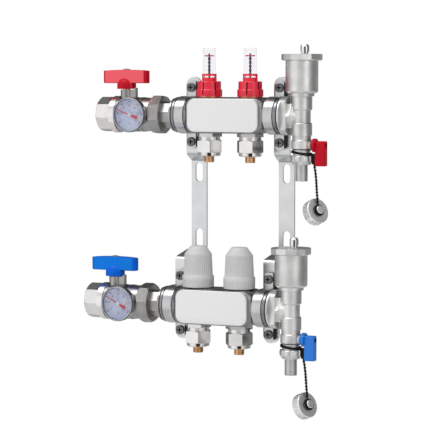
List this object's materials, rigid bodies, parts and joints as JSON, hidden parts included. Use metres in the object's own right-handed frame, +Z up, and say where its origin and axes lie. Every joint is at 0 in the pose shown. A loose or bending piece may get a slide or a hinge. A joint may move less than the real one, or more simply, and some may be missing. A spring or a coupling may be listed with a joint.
{
  "type": "heating manifold",
  "caption": "Wall-hung heating manifold with a supply bar with flow meters and a return bar with hand caps, ball valves, gauges, air vents and drain valves.",
  "frame": {"origin": "on the wall plane, at the middle of the two wall slots of the left bracket", "axes": "+X along both bars towards the end tees, -Y away from the wall towards the viewer, +Z up along the brackets"},
  "size_m": [0.2743, 0.093, 0.4081],
  "materials": {
    "zinc_steel": "satin zinc plated",
    "bright_steel": "bright plated",
    "stainless": "polished",
    "nickel": "nickel plated brass",
    "brass": "turned",
    "black_rubber": "matte",
    "soft_black": "matte",
    "red_plastic": "gloss",
    "blue_plastic": "gloss",
    "light_plastic": "satin",
    "dark_plastic": "gloss",
    "white_seal": "smooth",
    "dial_face": "printed card",
    "clear": "clear"
  },
  "bodies": {
    "frame": {"bracket_left": "zinc_steel", "bracket_right": "zinc_steel", "clamp_straps": "zinc_steel", "clamp_saddles": "black_rubber", "clamp_screws": "bright_steel", "supply_bar": "stainless", "return_bar": "stainless", "seal_rings": "black_rubber", "union_tails": "nickel", "union_nuts": "nickel", "supply_valve_body": "nickel", "return_valve_body": "nickel", "valve_end_pieces": "nickel", "valve_seats": "white_seal", "gauge_cases": "bright_steel", "gauge_dials": "dial_face", "gauge_lenses": "clear", "supply_end_tee": "nickel", "return_end_tee": "nickel", "vent_bodies": "nickel", "vent_covers": "nickel", "vent_floats": "white_seal", "drain_bodies": "nickel", "drain_nuts": "nickel", "drain_spouts": "nickel", "lanyard_rings": "soft_black", "supply_lanyard_cord": "soft_black", "return_lanyard_cord": "soft_black", "supply_lanyard_loop": "soft_black", "return_lanyard_loop": "soft_black", "supply_drain_cap": "nickel", "return_drain_cap": "nickel", "connector_nipples": "nickel", "connector_nuts": "nickel", "clamping_rings": "nickel", "pipe_inserts": "brass", "flow_inserts": "brass", "sight_glasses": "clear", "return_inserts": "brass"},
    "supply_valve": {"supply_valve_handle": "red_plastic", "supply_valve_stem": "brass", "supply_valve_ball": "bright_steel"},
    "return_valve": {"return_valve_handle": "blue_plastic", "return_valve_stem": "brass", "return_valve_ball": "bright_steel"},
    "supply_drain": {"supply_drain_lever": "red_plastic", "supply_drain_stem": "brass"},
    "return_drain": {"return_drain_lever": "blue_plastic", "return_drain_stem": "brass"},
    "supply_pointer": {"supply_gauge_pointer": "red_plastic"},
    "return_pointer": {"return_gauge_pointer": "red_plastic"},
    "supply_vent_cap": {"supply_vent_cap": "nickel"},
    "return_vent_cap": {"return_vent_cap": "nickel"},
    "meter_collar_1": {"flow_meter_1_collar": "red_plastic"},
    "meter_collar_2": {"flow_meter_2_collar": "red_plastic"},
    "indicator_1": {"flow_indicator_1": "dark_plastic"},
    "indicator_2": {"flow_indicator_2": "dark_plastic"},
    "hand_cap_1": {"hand_cap_1": "light_plastic"},
    "hand_cap_2": {"hand_cap_2": "light_plastic"}
  },
  "joints": [
    {"name": "supply_valve_turn", "type": "hinge", "parent": "frame", "child": "supply_valve", "pos_m": [-0.0746, -0.037, 0.143], "axis": [0, 0, -1], "range_deg": [0, 90]},
    {"name": "return_valve_turn", "type": "hinge", "parent": "frame", "child": "return_valve", "pos_m": [-0.0746, -0.066, -0.067], "axis": [0, 0, -1], "range_deg": [0, 90]},
    {"name": "supply_drain_turn", "type": "hinge", "parent": "frame", "child": "supply_drain", "pos_m": [0.16, -0.037, 0.071], "axis": [-1, 0, 0], "range_deg": [0, 90]},
    {"name": "return_drain_turn", "type": "hinge", "parent": "frame", "child": "return_drain", "pos_m": [0.16, -0.066, -0.139], "axis": [-1, 0, 0], "range_deg": [0, 90]},
    {"name": "supply_pointer_turn", "type": "hinge", "parent": "frame", "child": "supply_pointer", "pos_m": [-0.059, -0.061, 0.103], "axis": [0, -1, 0], "range_deg": [-200, 60]},
    {"name": "return_pointer_turn", "type": "hinge", "parent": "frame", "child": "return_pointer", "pos_m": [-0.059, -0.09, -0.107], "axis": [0, -1, 0], "range_deg": [-200, 60]},
    {"name": "supply_vent_cap_turn", "type": "hinge", "parent": "frame", "child": "supply_vent_cap", "pos_m": [0.1412, -0.0298, 0.175], "axis": [0, 0, 1], "range_deg": [0, 360]},
    {"name": "return_vent_cap_turn", "type": "hinge", "parent": "frame", "child": "return_vent_cap", "pos_m": [0.1412, -0.0588, -0.035], "axis": [0, 0, 1], "range_deg": [0, 360]},
    {"name": "meter_collar_1_turn", "type": "hinge", "parent": "frame", "child": "meter_collar_1", "pos_m": [0.029, -0.037, 0.135], "axis": [0, 0, 1], "range_deg": [0, 720]},
    {"name": "meter_collar_2_turn", "type": "hinge", "parent": "frame", "child": "meter_collar_2", "pos_m": [0.079, -0.037, 0.135], "axis": [0, 0, 1], "range_deg": [0, 720]},
    {"name": "indicator_1_slide", "type": "slide", "parent": "frame", "child": "indicator_1", "axis": [0, 0, -1], "range_m": [0, 0.012]},
    {"name": "indicator_2_slide", "type": "slide", "parent": "frame", "child": "indicator_2", "axis": [0, 0, -1], "range_m": [0, 0.012]},
    {"name": "hand_cap_1_turn", "type": "hinge", "parent": "frame", "child": "hand_cap_1", "pos_m": [0.029, -0.066, -0.067], "axis": [0, 0, 1], "range_deg": [0, 720]},
    {"name": "hand_cap_2_turn", "type": "hinge", "parent": "frame", "child": "hand_cap_2", "pos_m": [0.079, -0.066, -0.067], "axis": [0, 0, 1], "range_deg": [0, 720]}
  ]
}
